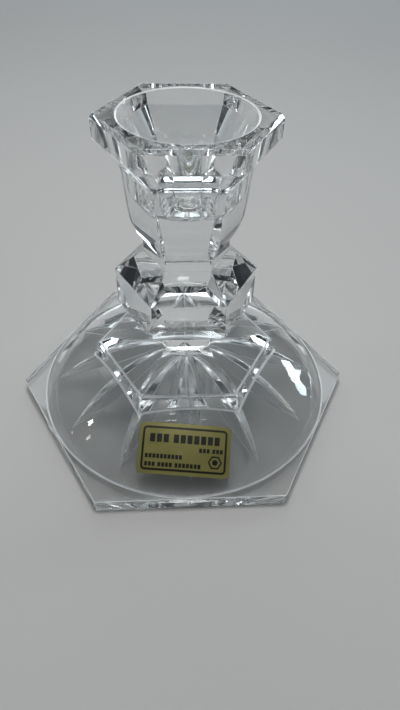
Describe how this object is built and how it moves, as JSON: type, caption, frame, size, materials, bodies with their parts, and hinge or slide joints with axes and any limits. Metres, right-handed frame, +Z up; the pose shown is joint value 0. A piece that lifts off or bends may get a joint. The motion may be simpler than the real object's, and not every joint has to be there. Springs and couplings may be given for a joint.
{
  "type": "crystal candlestick",
  "caption": "Clear hexagonal cut-crystal candlestick: flanged faceted cup with a round candle socket, faceted knop, domed foot with a star cut underneath and a small foil label.",
  "frame": {"origin": "centre of the face that the foot stands on", "axes": "+Z up along the axis of the candle socket, +X through two opposite corners of every hexagon, -Y out of the side that carries the label"},
  "size_m": [0.1, 0.0866, 0.0855],
  "materials": {
    "crystal": "clear, polished lead crystal with slightly softened pressed edges",
    "gold_foil": "satin olive-gold foil",
    "black_ink": "matt black printing ink"
  },
  "bodies": {
    "root": {"foot": "crystal", "knop": "crystal", "candle_cup": "crystal", "label_foil": "gold_foil", "label_print": "black_ink"}
  },
  "joints": []
}
